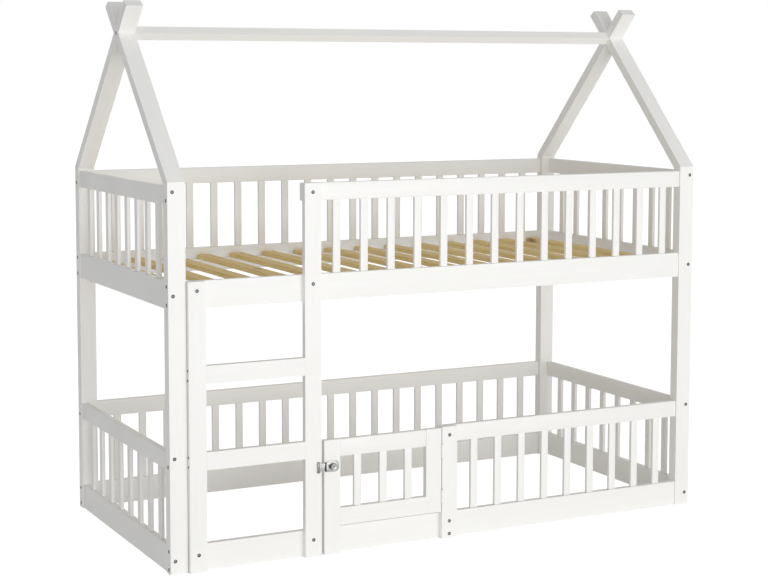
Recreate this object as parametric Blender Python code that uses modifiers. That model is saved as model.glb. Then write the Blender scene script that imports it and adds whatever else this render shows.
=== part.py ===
"""A house-shaped bunk bed for two children, in metres.

X runs along the bed, Y from the ladder side (front) to the wall side (back), Z up from the floor.
Four mitred corner posts turn into rafters, which cross under the two ends of a ridge beam.
The upper bed lies on bare slats inside guard rails, the lower one on the floor inside a fence
with a gate. The gate turns on two hinges and is held shut by a slide bolt.
"""

import math

import bmesh
import bpy
from mathutils import Euler, Matrix, Vector

# Whole bed
BED_LENGTH = 2.08
BED_WIDTH = 1.00
KNEE_HEIGHT = 1.2865
ROOF_SLOPE = math.radians(45.4)
RAFTER_OVERRUN = 0.1406

# Timber
POST_WIDE = 0.060
POST_DEEP = 0.040
RAFTER_DEEP = 0.034
BOARD_THICK = 0.022
NARROW_BOARD = 0.060
WIDE_BOARD = 0.090
RIDGE_SIDE = 0.033
RIDGE_TURN = math.radians(45)
RAFTER_END_TURN = math.radians(12)
RAIL_SETBACK = 0.005
POST_ROUND = 0.005
BOARD_ROUND = 0.003
JOINT_GAP = 0.0003

# Tops of the rails; the guard rail's hangs from the knee
FENCE_TOP = 0.400
DECK_RAIL_TOP = 0.9625
GUARD_DROP = 0.0165

# Upright slats, tenoned into the rail above them
SLAT_WIDE = 0.0275
SLAT_THICK = 0.013
SLAT_ROUND = 0.002
SLAT_TENON = 0.015
BACK_SLATS = 19
END_SLATS = 8
GUARD_SLATS = 14
FENCE_SLATS = 9
GATE_SLATS = 3
GUARD_EDGE_GAP = 0.0565
GATE_EDGE_GAP = 0.0545

# Slats that carry the upper bed; their row lies nearer the ladder's end
DECK_SLATS = 15
DECK_SLAT_WIDE = 0.050
DECK_SLAT_THICK = 0.016
DECK_POST_GAP = 0.005
DECK_SLAT_SHIFT = 0.008
DECK_DROP = 0.0265
DECK_END_GAP = 0.002
LEDGER_THICK = 0.020
LEDGER_HIGH = 0.030

# Bolts, whose heads lie sunk in round recesses; their heights are from the rails' middles
BOLT_INSET = 0.0165
BOLT_STAGGER = 0.014
BOLT_PAIR = 0.030
LADDER_BOLT_RISE = 0.015
GATE_POST_BOLT_RISE = 0.0173
GATE_POST_BOLT_DROP = 0.0282
RECESS_RADIUS = 0.0064
RECESS_DEEP = 0.0030
HEAD_RADIUS = 0.0052
HEAD_DROP = 0.0008
HEAD_ROOT = 0.0010
SOCKET_RADIUS = 0.0026
SOCKET_DEEP = 0.0016
BOLT_SIDES = 12
SOCKET_SIDES = 6

# Ladder, between the front left post and the gate
LADDER_POST_GAP = 0.002
LADDER_WIDE = 0.473
UPPER_RUNG_TOP = 0.6855

# Gate
LATCH_GAP = 0.010
GATE_WIDE = 0.452
HINGE_GAP = 0.0032
GATE_TOP = 0.397
GATE_BASE = 0.099
GATE_FLOOR_GAP = 0.003

# Hinges, three knuckles each
HINGE_HIGH = 0.050
LOWER_HINGE_MIDDLE = 0.1545
UPPER_HINGE_MIDDLE = 0.3155
KNUCKLE_RADIUS = 0.0035
KNUCKLE_GAP = 0.0004
LEAF_THICK = 0.0010
LEAF_REACH = 0.018
PIN_RADIUS = 0.0015
PIN_HEAD_RADIUS = 0.0028
PIN_HEAD_HIGH = 0.0012
RUNNING_GAP = 0.0003

# Slide bolt of the gate
LATCH_MIDDLE = 0.3070
LATCH_TRAVEL = 0.012
LATCH_PLATE_THICK = 0.0015
LATCH_PLATE_WIDE = 0.050
LATCH_PLATE_HIGH = 0.038
LATCH_PLATE_INSET = 0.0035
LATCH_CORNER = 0.012
LATCH_BAR_THICK = 0.004
LATCH_BAR_HIGH = 0.026
LATCH_BAR_TAIL = 0.010
HOUSING_WALL = 0.0012
HOUSING_END = 0.007
KEEPER_INSET = 0.0055
KEEPER_WIDE = 0.0115
KEEPER_CLEARANCE = 0.0005
STEM_RADIUS = 0.004
KNOB_RADIUS = 0.013
KNOB_HIGH = 0.011
KNOB_STANDOFF = 0.0015
KNOB_FROM_EDGE = 0.0345
KNOB_CROWN_SHARE = 0.62

CUT_OVERRUN = 0.010
MERGE = 0.00001
ARC_STEPS = 14
TURNED_STEPS = 20
SHARP_EDGE = math.radians(35)

# Places worked out from the sizes above
HALF_LENGTH = BED_LENGTH / 2
HALF_WIDTH = BED_WIDTH / 2
POST_INNER_X = HALF_LENGTH - POST_WIDE
POST_INNER_Y = HALF_WIDTH - POST_DEEP
RAIL_OUTER_X = HALF_LENGTH - RAIL_SETBACK
RAIL_INNER_X = RAIL_OUTER_X - BOARD_THICK
RAIL_OUTER_Y = HALF_WIDTH - RAIL_SETBACK
RAIL_INNER_Y = RAIL_OUTER_Y - BOARD_THICK
RAIL_MIDDLE_X = (RAIL_OUTER_X + RAIL_INNER_X) / 2
RAIL_MIDDLE_Y = (RAIL_OUTER_Y + RAIL_INNER_Y) / 2

GUARD_TOP = KNEE_HEIGHT - GUARD_DROP
FENCE_BASE = FENCE_TOP - NARROW_BOARD
DECK_RAIL_BASE = DECK_RAIL_TOP - WIDE_BOARD
GUARD_BASE = GUARD_TOP - NARROW_BOARD
FLOOR_MIDDLE = WIDE_BOARD / 2
FENCE_MIDDLE = FENCE_TOP - NARROW_BOARD / 2
DECK_RAIL_MIDDLE = DECK_RAIL_TOP - WIDE_BOARD / 2
GUARD_MIDDLE = GUARD_TOP - NARROW_BOARD / 2
DECK_TOP = DECK_RAIL_TOP - DECK_DROP
DECK_BASE = DECK_TOP - DECK_SLAT_THICK
DECK_SLAT_REACH = POST_INNER_X - DECK_POST_GAP - DECK_SLAT_SHIFT - DECK_SLAT_WIDE / 2

UPRIGHT_BACK = -RAIL_OUTER_Y - JOINT_GAP
UPRIGHT_FRONT = UPRIGHT_BACK - BOARD_THICK
LADDER_LEFT = LADDER_POST_GAP - POST_INNER_X
LADDER_RIGHT = LADDER_LEFT + LADDER_WIDE
GUARD_START = LADDER_RIGHT - NARROW_BOARD
GATE_LEFT = LADDER_RIGHT + LATCH_GAP
GATE_RIGHT = GATE_LEFT + GATE_WIDE
GATE_POST_LEFT = GATE_RIGHT + HINGE_GAP
GATE_POST_RIGHT = GATE_POST_LEFT + NARROW_BOARD

HINGE_X = (GATE_RIGHT + GATE_POST_LEFT) / 2
HINGE_Y = UPRIGHT_FRONT - KNUCKLE_RADIUS - JOINT_GAP
HINGE_AXIS = Vector((HINGE_X, HINGE_Y, 0))

# The knee's joint runs from the outer corner to where the inner faces of post and rafter meet
KNEE_DROP = RAFTER_DEEP / math.cos(ROOF_SLOPE) - POST_DEEP * math.tan(ROOF_SLOPE)
KNEE_RUN = POST_DEEP * math.cos(ROOF_SLOPE) - KNEE_DROP * math.sin(ROOF_SLOPE)
KNEE_MIDDLE_Y = HALF_WIDTH - POST_DEEP / 2
CROSSING_HEIGHT = KNEE_HEIGHT - KNEE_DROP / 2 + KNEE_MIDDLE_Y * math.tan(ROOF_SLOPE)
RAFTER_RUN = KNEE_MIDDLE_Y / math.cos(ROOF_SLOPE)

BAR_BACK = UPRIGHT_FRONT - RUNNING_GAP
BAR_FRONT = BAR_BACK - LATCH_BAR_THICK
BAR_MIDDLE = (BAR_BACK + BAR_FRONT) / 2
HOUSING_INNER = BAR_FRONT - RUNNING_GAP
HOUSING_FRONT = HOUSING_INNER - HOUSING_WALL
PLATE_BACK = UPRIGHT_FRONT - JOINT_GAP
PLATE_LEFT = GATE_LEFT + LATCH_PLATE_INSET
KNOB_BACK = HOUSING_FRONT - KNOB_STANDOFF
KNOB_FRONT = KNOB_BACK - KNOB_HIGH
KNOB_X = GATE_LEFT + KNOB_FROM_EDGE
KEEPER_RIGHT = LADDER_RIGHT - KEEPER_INSET
TUNNEL_HALF = LATCH_BAR_HIGH / 2 + RUNNING_GAP

# The middle of the bed's outer box stands over the origin, the latch's knob included
ORIGIN_SHIFT = (-KNOB_FRONT - HALF_WIDTH) / 2

ENDS = {"left": -1, "right": 1}
SIDES = {"front": -1, "back": 1}
HINGES = {"lower": LOWER_HINGE_MIDDLE, "upper": UPPER_HINGE_MIDDLE}

PAINT = {"colour": (0.86, 0.86, 0.84, 1), "roughness": 0.42, "metallic": 0.0}
PINE = {"colour": (0.46, 0.33, 0.14, 1), "roughness": 0.6, "metallic": 0.0}
HINGE_PAINT = {"colour": (0.82, 0.82, 0.80, 1), "roughness": 0.35, "metallic": 0.0}
ZINC = {"colour": (0.55, 0.55, 0.53, 1), "roughness": 0.35, "metallic": 1.0}

for leftover in list(bpy.data.objects):
    bpy.data.objects.remove(leftover, do_unlink=True)

parts = bpy.data.collections.new("house_bunk_bed")
cutters = bpy.data.collections.new("cutters")
bpy.context.scene.collection.children.link(parts)
bpy.context.scene.collection.children.link(cutters)


def add_empty(name, place, parent=None):
    """An empty at a place, for joint axes and for the bed's own origin."""
    empty = bpy.data.objects.new(name, None)
    parts.objects.link(empty)
    empty.parent = parent
    empty.location = place - place_of(parent)
    return empty


def place_of(obj):
    """Where an object stands in the bed's own space."""
    place = Vector((0, 0, 0))
    while obj and obj.parent:
        place += obj.location
        obj = obj.parent
    return place


def make_material(name, finish):
    """A Principled material with one finish."""
    material = bpy.data.materials.new(name)
    material.use_nodes = True
    shader = material.node_tree.nodes["Principled BSDF"]
    shader.inputs["Base Color"].default_value = finish["colour"]
    shader.inputs["Roughness"].default_value = finish["roughness"]
    shader.inputs["Metallic"].default_value = finish["metallic"]
    return material


def add_object(name, bm, finish, origin, parent, turn=None):
    """A named object from a bmesh in its own space; one without a finish is a cutter."""
    mesh = bpy.data.meshes.new(name)
    bm.to_mesh(mesh)
    bm.free()
    obj = bpy.data.objects.new(name, mesh)
    obj.parent = parent
    obj.location = origin - place_of(parent)
    if turn:
        obj.rotation_euler = turn
    if finish:
        mesh.materials.append(make_material(f"{name}_finish", finish))
        parts.objects.link(obj)
    else:
        cutters.objects.link(obj)
        obj.hide_render = True
        obj.display_type = "WIRE"
    return obj


def add_bevel(obj, width, segments):
    """Rounds the edges that carry a bevel weight."""
    bevel = obj.modifiers.new("Rounded edges", "BEVEL")
    bevel.limit_method = "WEIGHT"
    bevel.width = width
    bevel.segments = segments


def add_boolean(obj, other, operation="DIFFERENCE"):
    """Cuts an object with another, or joins the other's shape to it."""
    boolean = obj.modifiers.new(other.name, "BOOLEAN")
    boolean.operation = operation
    boolean.solver = "EXACT"
    boolean.object = other


def add_box(bm, low, high, along=None):
    """A box between two corners; its edges along one axis are marked for rounding."""
    low = Vector(low)
    high = Vector(high)
    middle = Matrix.Translation((low + high) / 2)
    made = bmesh.ops.create_cube(bm, size=1, matrix=middle @ Matrix.Diagonal((*(high - low), 1)))
    weight = bm.edges.layers.float.get("bevel_weight_edge")
    weight = weight or bm.edges.layers.float.new("bevel_weight_edge")
    for edge in {edge for vert in made["verts"] for edge in vert.link_edges}:
        run = edge.verts[1].co - edge.verts[0].co
        edge[weight] = float(along is not None and run.length == abs(run[along]))
    return made["verts"]


def add_board(name, low, high, along, parent=None, origin=None, finish=PAINT):
    """A board between two corners, its edges rounded along its length."""
    origin = origin or (Vector(low) + Vector(high)) / 2
    bm = bmesh.new()
    add_box(bm, Vector(low) - origin, Vector(high) - origin, along)
    board = add_object(name, bm, finish, origin, parent or bed)
    add_bevel(board, BOARD_ROUND, 2)
    return board


def box_cutter(name, low, high, origin, parent):
    """A plain box between two corners, as a cutter with its origin at a place."""
    bm = bmesh.new()
    add_box(bm, Vector(low) - origin, Vector(high) - origin)
    return add_object(name, bm, None, origin, parent)


def add_turned(name, profile, finish, origin, parent, turn=None):
    """A piece turned about its own Z from a profile of radii and heights, top pole to bottom pole."""
    bm = bmesh.new()
    verts = [bm.verts.new((radius, 0, height)) for radius, height in profile]
    for pair in zip(verts, verts[1:]):
        bm.edges.new(pair)
    turned = add_object(name, bm, finish, origin, parent, turn)
    screw = turned.modifiers.new("Turned", "SCREW")
    screw.steps = TURNED_STEPS
    screw.render_steps = TURNED_STEPS
    screw.use_merge_vertices = True
    screw.merge_threshold = MERGE
    return turned


def arc(centre, radius, start, end, steps):
    """Points along an arc, both ends included."""
    turns = [start + (end - start) * n / steps for n in range(steps + 1)]
    return [(centre[0] + radius * math.cos(turn), centre[1] + radius * math.sin(turn)) for turn in turns]


def extruded(outlines, height):
    """A flat outline with its holes, extruded evenly about its plane, the caps welded."""
    curve = bpy.data.curves.new("outline", "CURVE")
    curve.dimensions = "2D"
    curve.fill_mode = "BOTH"
    curve.extrude = height / 2
    for points in outlines:
        spline = curve.splines.new("POLY")
        spline.points.add(len(points) - 1)
        for point, (x, y) in zip(spline.points, points):
            point.co = (x, y, 0, 1)
        spline.use_cyclic_u = True
    obj = bpy.data.objects.new("outline", curve)
    cutters.objects.link(obj)
    graph = bpy.context.evaluated_depsgraph_get()
    mesh = bpy.data.meshes.new_from_object(obj.evaluated_get(graph))
    bpy.data.objects.remove(obj, do_unlink=True)
    bm = bmesh.new()
    bm.from_mesh(mesh)
    bmesh.ops.remove_doubles(bm, verts=bm.verts, dist=MERGE)
    bmesh.ops.recalc_face_normals(bm, faces=bm.faces)
    return bm


def add_bolts(board, spots):
    """Sinks bolt heads into a board, at places with their outward directions."""
    origin = place_of(board)
    shapes = {
        "recess": (RECESS_RADIUS, -RECESS_DEEP, CUT_OVERRUN, BOLT_SIDES, "DIFFERENCE"),
        "head": (HEAD_RADIUS, -RECESS_DEEP - HEAD_ROOT, -HEAD_DROP, BOLT_SIDES, "UNION"),
        "socket": (SOCKET_RADIUS, -HEAD_DROP - SOCKET_DEEP, CUT_OVERRUN, SOCKET_SIDES, "DIFFERENCE"),
    }
    for shape, (radius, low, high, sides, operation) in shapes.items():
        bm = bmesh.new()
        for place, outward in spots:
            turn = Vector(outward).to_track_quat("Z", "Y").to_matrix().to_4x4()
            middle = turn @ Matrix.Translation((0, 0, (low + high) / 2))
            middle = Matrix.Translation(Vector(place) - origin) @ middle
            size = {"radius1": radius, "radius2": radius, "depth": high - low}
            bmesh.ops.create_cone(bm, cap_ends=True, segments=sides, matrix=middle, **size)
        cutter = add_object(f"{shape}_{board.name}", bm, None, origin, board.parent)
        add_boolean(board, cutter, operation)


def corner_bolts(side, end):
    """Places of one corner post's bolts: through its wide face, and through its outer side."""
    face_heights = [GUARD_MIDDLE + BOLT_STAGGER, DECK_RAIL_MIDDLE, FENCE_MIDDLE + BOLT_STAGGER, FLOOR_MIDDLE]
    side_heights = [GUARD_MIDDLE - BOLT_STAGGER, FENCE_MIDDLE - BOLT_STAGGER]
    for middle in (DECK_RAIL_MIDDLE, FLOOR_MIDDLE):
        side_heights += [middle - BOLT_PAIR, middle + BOLT_PAIR]
    x = end * HALF_LENGTH
    y = side * HALF_WIDTH
    spots = [((x - end * BOLT_INSET, y, height), (0, side, 0)) for height in face_heights]
    return spots + [((x, y - side * BOLT_INSET, height), (end, 0, 0)) for height in side_heights]


def make_posts():
    """Corner posts; the top slopes down inwards to the joint with the rafter."""
    for side_name, side in SIDES.items():
        for end_name, end in ENDS.items():
            bm = bmesh.new()
            middle = Vector((end * (HALF_LENGTH - POST_WIDE / 2), side * KNEE_MIDDLE_Y, 0))
            reach = Vector((POST_WIDE / 2, POST_DEEP / 2, 0))
            for vert in add_box(bm, -reach, reach + Vector((0, 0, KNEE_HEIGHT)), 2):
                if vert.co.z > KNEE_HEIGHT / 2 and vert.co.y * side < 0:
                    vert.co.z -= KNEE_DROP
            post = add_object(f"post_{side_name}_{end_name}", bm, PAINT, middle, bed)
            add_bevel(post, POST_ROUND, 3)
            add_bolts(post, corner_bolts(side, end))


def rafter_turn(side):
    """Rotation of a rafter, whose own Y climbs from the knee to the crossing."""
    return Euler((ROOF_SLOPE, 0, 0 if side < 0 else math.pi))


def make_rafter(side_name, end_name, crossing):
    """A rafter from its knee to past the crossing, halved where it crosses the other one."""
    side = SIDES[side_name]
    end = ENDS[end_name]
    bm = bmesh.new()
    low = Vector((-POST_WIDE / 2, JOINT_GAP - RAFTER_RUN, -RAFTER_DEEP / 2))
    high = Vector((POST_WIDE / 2, RAFTER_OVERRUN, RAFTER_DEEP / 2))
    for vert in add_box(bm, low, high, 1):
        vert.co.y -= vert.co.z * (KNEE_RUN / RAFTER_DEEP if vert.co.y < 0 else math.tan(RAFTER_END_TURN))
    rafter = add_object(f"rafter_{side_name}_{end_name}", bm, PAINT, crossing, bed, rafter_turn(side))
    add_bevel(rafter, POST_ROUND, 3)

    # The front rafter keeps its outer half and the back one its inner half, which is the same side
    # of a notch that lies along the other rafter, because the back one is turned half round
    notch = bmesh.new()
    near, far = sorted((-end * JOINT_GAP / 2, end * (POST_WIDE / 2 + CUT_OVERRUN)))
    reach_y = RAFTER_OVERRUN / 2
    reach_z = RAFTER_DEEP / 2 + JOINT_GAP
    add_box(notch, (near, -reach_y, -reach_z), (far, reach_y, reach_z))
    turn = rafter_turn(-side)
    add_boolean(rafter, add_object(f"notch_{side_name}_{end_name}", notch, None, crossing, bed, turn))
    if side < 0:
        add_bolts(rafter, [((end * HALF_LENGTH, 0, CROSSING_HEIGHT), (end, 0, 0))])


def make_roof():
    """Two crossed pairs of rafters and the ridge beam between them, set on its edge."""
    for end_name, end in ENDS.items():
        crossing = Vector((end * (HALF_LENGTH - POST_WIDE / 2), 0, CROSSING_HEIGHT))
        for side_name in SIDES:
            make_rafter(side_name, end_name, crossing)
    bm = bmesh.new()
    reach = Vector((POST_INNER_X - JOINT_GAP, RIDGE_SIDE / 2, RIDGE_SIDE / 2))
    add_box(bm, -reach, reach, 0)
    place = Vector((0, 0, CROSSING_HEIGHT))
    ridge = add_object("ridge_beam", bm, PAINT, place, bed, Euler((RIDGE_TURN, 0, 0)))
    add_bevel(ridge, BOARD_ROUND, 2)


def spread(start, end, count, edge_gap=None):
    """Middles of upright slats between two faces, evenly, or with a set gap at each end."""
    gap = edge_gap or (end - start - count * SLAT_WIDE) / (count + 1)
    first = start + gap + SLAT_WIDE / 2
    last = end - gap - SLAT_WIDE / 2
    return [first + (last - first) * n / (count - 1) for n in range(count)]


def add_slats(rail, middles, across, plane, base, top):
    """Joins upright slats to the rail above; they stand in a row along X (0) or Y (1)."""
    bm = bmesh.new()
    origin = place_of(rail)
    for middle in middles:
        low = Vector((plane - SLAT_THICK / 2, plane - SLAT_THICK / 2, base + JOINT_GAP))
        high = Vector((plane + SLAT_THICK / 2, plane + SLAT_THICK / 2, top + SLAT_TENON))
        low[across] = middle - SLAT_WIDE / 2
        high[across] = middle + SLAT_WIDE / 2
        add_box(bm, low - origin, high - origin, 2)
    slats = add_object(f"slats_{rail.name}", bm, None, origin, rail.parent)
    add_bevel(slats, SLAT_ROUND, 1)
    add_boolean(rail, slats, "UNION")


def long_rail(name, side, base, high, start=JOINT_GAP - POST_INNER_X):
    """A rail along X, up to the right-hand post of the front or the back."""
    near, far = sorted((side * RAIL_OUTER_Y, side * RAIL_INNER_Y))
    return add_board(name, (start, near, base), (POST_INNER_X - JOINT_GAP, far, base + high), 0)


def end_rail(name, end, base, high):
    """A rail along Y between the two posts of one end."""
    near, far = sorted((end * RAIL_OUTER_X, end * RAIL_INNER_X))
    reach = POST_INNER_Y - JOINT_GAP
    return add_board(name, (near, -reach, base), (far, reach, base + high), 1)


def make_plain_rails():
    """Floor rails and deck rails on all four sides."""
    for level, base in {"floor_rail": 0, "deck_rail": DECK_RAIL_BASE}.items():
        for side_name, side in SIDES.items():
            long_rail(f"{level}_{side_name}", side, base, WIDE_BOARD)
        for end_name, end in ENDS.items():
            end_rail(f"{level}_{end_name}", end, base, WIDE_BOARD)


def make_slatted_rails():
    """Guard rails and fence rails with their slats; in front they stop at the ladder and the gate."""
    fronts = {
        "guard": (GUARD_START, spread(LADDER_RIGHT, POST_INNER_X, GUARD_SLATS, GUARD_EDGE_GAP)),
        "fence": (GATE_POST_LEFT, spread(GATE_POST_RIGHT, POST_INNER_X, FENCE_SLATS)),
    }
    heights = {"guard": (DECK_RAIL_TOP, GUARD_BASE), "fence": (WIDE_BOARD, FENCE_BASE)}
    along_back = spread(-POST_INNER_X, POST_INNER_X, BACK_SLATS)
    along_end = spread(-POST_INNER_Y, POST_INNER_Y, END_SLATS)
    for level, (base, top) in heights.items():
        start, along_front = fronts[level]
        front = long_rail(f"{level}_rail_front", -1, top, NARROW_BOARD, start)
        add_slats(front, along_front, 0, -RAIL_MIDDLE_Y, base, top)
        back = long_rail(f"{level}_rail_back", 1, top, NARROW_BOARD)
        add_slats(back, along_back, 0, RAIL_MIDDLE_Y, base, top)
        for end_name, end in ENDS.items():
            rail = end_rail(f"{level}_rail_{end_name}", end, top, NARROW_BOARD)
            add_slats(rail, along_end, 1, end * RAIL_MIDDLE_X, base, top)


def make_deck():
    """Ledgers inside the long deck rails, and the bare slats that lie on them."""
    top = DECK_BASE - JOINT_GAP
    reach = POST_INNER_X - JOINT_GAP
    outer = RAIL_INNER_Y - JOINT_GAP
    for side_name, side in SIDES.items():
        near, far = sorted((side * outer, side * (outer - LEDGER_THICK)))
        low = (-reach, near, top - LEDGER_HIGH)
        add_board(f"ledger_{side_name}", low, (reach, far, top), 0)
    reach = RAIL_INNER_Y - DECK_END_GAP
    for n in range(DECK_SLATS):
        middle = DECK_SLAT_REACH * (2 * n / (DECK_SLATS - 1) - 1) - DECK_SLAT_SHIFT
        low = (middle - DECK_SLAT_WIDE / 2, -reach, DECK_BASE)
        high = (middle + DECK_SLAT_WIDE / 2, reach, DECK_TOP)
        add_board(f"deck_slat_{n + 1:02d}", low, high, 1, finish=PINE)


def make_uprights():
    """Ladder stiles, rungs and the gate post, all bolted on in front of the rails."""
    ladder_bolts = [DECK_RAIL_MIDDLE + LADDER_BOLT_RISE, FLOOR_MIDDLE + LADDER_BOLT_RISE]
    post_bolts = [FENCE_MIDDLE, FLOOR_MIDDLE + GATE_POST_BOLT_RISE, FLOOR_MIDDLE - GATE_POST_BOLT_DROP]
    places = {
        "ladder_stile_left": (LADDER_LEFT, DECK_RAIL_TOP, ladder_bolts),
        "ladder_stile_right": (GUARD_START, GUARD_TOP, [GUARD_MIDDLE, *ladder_bolts]),
        "gate_post": (GATE_POST_LEFT, FENCE_TOP, post_bolts),
    }
    for name, (left, top, heights) in places.items():
        board = add_board(name, (left, UPRIGHT_FRONT, 0), (left + NARROW_BOARD, UPRIGHT_BACK, top), 2)
        x = left + NARROW_BOARD / 2
        add_bolts(board, [((x, UPRIGHT_FRONT, height), (0, -1, 0)) for height in heights])
    left = LADDER_LEFT + NARROW_BOARD + JOINT_GAP
    right = GUARD_START - JOINT_GAP
    for name, top in {"rung_lower": FENCE_TOP, "rung_upper": UPPER_RUNG_TOP}.items():
        add_board(name, (left, UPRIGHT_FRONT, top - NARROW_BOARD), (right, UPRIGHT_BACK, top), 0)


def make_gate(hinge):
    """The gate's frame and slats; its latch stile reaches down to the floor."""
    inner_left = GATE_LEFT + NARROW_BOARD
    inner_right = GATE_RIGHT - NARROW_BOARD
    left = inner_left + JOINT_GAP
    right = inner_right - JOINT_GAP
    rail_base = GATE_TOP - NARROW_BOARD
    rail_top = GATE_BASE + NARROW_BOARD
    front = UPRIGHT_FRONT
    back = UPRIGHT_BACK
    axis = HINGE_AXIS
    foot = (GATE_LEFT, front, GATE_FLOOR_GAP)
    add_board("gate_stile_latch", foot, (inner_left, back, GATE_TOP), 2, hinge, axis)
    add_board("gate_stile_hinge", (inner_right, front, GATE_BASE), (GATE_RIGHT, back, GATE_TOP), 2, hinge, axis)
    add_board("gate_rail_bottom", (left, front, GATE_BASE), (right, back, rail_top), 0, hinge, axis)
    top_rail = add_board("gate_rail_top", (left, front, rail_base), (right, back, GATE_TOP), 0, hinge, axis)
    middles = spread(inner_left, inner_right, GATE_SLATS, GATE_EDGE_GAP)
    add_slats(top_rail, middles, 0, (front + back) / 2, rail_top, rail_base)


def hinge_leaf(name, side, centre, parent):
    """A strip in the gap beside the gate that curls round the pin."""
    near = RUNNING_GAP
    far = RUNNING_GAP + LEAF_THICK
    back = KNUCKLE_RADIUS + LEAF_REACH
    start = math.acos(far / KNUCKLE_RADIUS)
    end = math.acos(near / KNUCKLE_RADIUS) - math.tau
    curl = arc((0, 0), KNUCKLE_RADIUS, start, end, ARC_STEPS)
    outline = [(side * x, y) for x, y in [(far, back), *curl, (near, back)]]
    hole = arc((0, 0), PIN_RADIUS + RUNNING_GAP, 0, math.tau, ARC_STEPS)[:-1]
    leaf = add_object(name, extruded([outline, hole], HINGE_HIGH), HINGE_PAINT, centre, parent)
    leaf.data.shade_smooth()
    leaf.data.set_sharp_from_angle(angle=SHARP_EDGE)
    return leaf


def make_hinge(name, height, hinge):
    """A leaf on the gate post with two knuckles, one on the gate with one, and their pin."""
    centre = HINGE_AXIS + Vector((0, 0, height))
    reach = Vector((KNUCKLE_RADIUS + RUNNING_GAP, KNUCKLE_RADIUS + RUNNING_GAP, 0))
    knuckle = Vector((0, 0, HINGE_HIGH / 3))
    gap = Vector((0, 0, KNUCKLE_GAP / 2))
    over = Vector((0, 0, CUT_OVERRUN))

    post_leaf = hinge_leaf(f"hinge_leaf_post_{name}", 1, centre, bed)
    low = centre - reach - knuckle / 2 - gap
    high = centre + reach + knuckle / 2 + gap
    add_boolean(post_leaf, box_cutter(f"room_middle_{name}", low, high, centre, bed))

    gate_leaf = hinge_leaf(f"hinge_leaf_gate_{name}", -1, centre, hinge)
    low = centre - reach + knuckle / 2 - gap
    high = centre + reach + 3 * knuckle / 2 + over
    add_boolean(gate_leaf, box_cutter(f"room_top_{name}", low, high, centre, hinge))
    low = centre - reach - 3 * knuckle / 2 - over
    high = centre + reach - knuckle / 2 + gap
    add_boolean(gate_leaf, box_cutter(f"room_bottom_{name}", low, high, centre, hinge))

    head_base = HINGE_HIGH / 2 + RUNNING_GAP
    head_top = head_base + PIN_HEAD_HIGH
    upper_half = [(0, head_top), (PIN_HEAD_RADIUS, head_top), (PIN_HEAD_RADIUS, head_base)]
    upper_half += [(PIN_RADIUS, head_base)]
    lower_half = [(radius, -z) for radius, z in reversed(upper_half)]
    add_turned(f"hinge_pin_{name}", upper_half + lower_half, ZINC, centre, bed)


def make_housing(hinge):
    """A plate with rounded outer corners and a raised tunnel, slotted for the knob's stem."""
    half = LATCH_PLATE_HIGH / 2
    left = PLATE_LEFT - KNOB_X
    right = left + LATCH_PLATE_WIDE
    turn = right - LATCH_CORNER
    outline = [(left, half), (left, -half)]
    outline += arc((turn, LATCH_CORNER - half), LATCH_CORNER, math.radians(-90), 0, ARC_STEPS // 3)
    outline += arc((turn, half - LATCH_CORNER), LATCH_CORNER, 0, math.radians(90), ARC_STEPS // 3)
    plate = extruded([outline], LATCH_PLATE_THICK)
    plate.transform(Matrix.Rotation(math.radians(90), 4, "X"))
    place = Vector((KNOB_X, PLATE_BACK - LATCH_PLATE_THICK / 2, LATCH_MIDDLE))
    housing = add_object("latch_housing", plate, ZINC, place, hinge)

    cover_left = PLATE_LEFT + JOINT_GAP
    cover_right = PLATE_LEFT + LATCH_PLATE_WIDE - HOUSING_END
    reach = TUNNEL_HALF + HOUSING_WALL
    low = (cover_left, HOUSING_FRONT, LATCH_MIDDLE - reach)
    high = (cover_right, place.y, LATCH_MIDDLE + reach)
    add_boolean(housing, box_cutter("housing_cover", low, high, place, hinge), "UNION")
    low = (PLATE_LEFT - CUT_OVERRUN, HOUSING_INNER, LATCH_MIDDLE - TUNNEL_HALF)
    high = (cover_right - HOUSING_WALL, UPRIGHT_FRONT, LATCH_MIDDLE + TUNNEL_HALF)
    add_boolean(housing, box_cutter("housing_tunnel", low, high, place, hinge))
    reach = STEM_RADIUS + RUNNING_GAP
    low = (KNOB_X - LATCH_TRAVEL - reach, HOUSING_FRONT - CUT_OVERRUN, LATCH_MIDDLE - reach)
    high = (KNOB_X + reach, BAR_MIDDLE, LATCH_MIDDLE + reach)
    add_boolean(housing, box_cutter("housing_slot", low, high, place, hinge))


def make_bolt(slide):
    """The flat bolt that slides in the housing, its knob on a stem through the slot."""
    place = Vector((KNOB_X, BAR_MIDDLE, LATCH_MIDDLE))
    low = Vector((KEEPER_RIGHT + KEEPER_CLEARANCE, BAR_FRONT, LATCH_MIDDLE - LATCH_BAR_HIGH / 2))
    high = Vector((KNOB_X + LATCH_BAR_TAIL, BAR_BACK, LATCH_MIDDLE + LATCH_BAR_HIGH / 2))
    bar = bmesh.new()
    add_box(bar, low - place, high - place)
    bolt = add_object("latch_bolt", bar, ZINC, place, slide)
    base = BAR_MIDDLE - KNOB_BACK
    profile = [
        (0, base + KNOB_HIGH),
        (KNOB_RADIUS * KNOB_CROWN_SHARE, base + KNOB_HIGH),
        (KNOB_RADIUS, base + KNOB_HIGH * KNOB_CROWN_SHARE),
        (KNOB_RADIUS, base),
        (STEM_RADIUS, base),
        (STEM_RADIUS, 0),
        (0, 0),
    ]
    turn = Euler((math.radians(90), 0, 0))
    add_boolean(bolt, add_turned("knob_shape", profile, None, place, slide, turn), "UNION")


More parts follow.
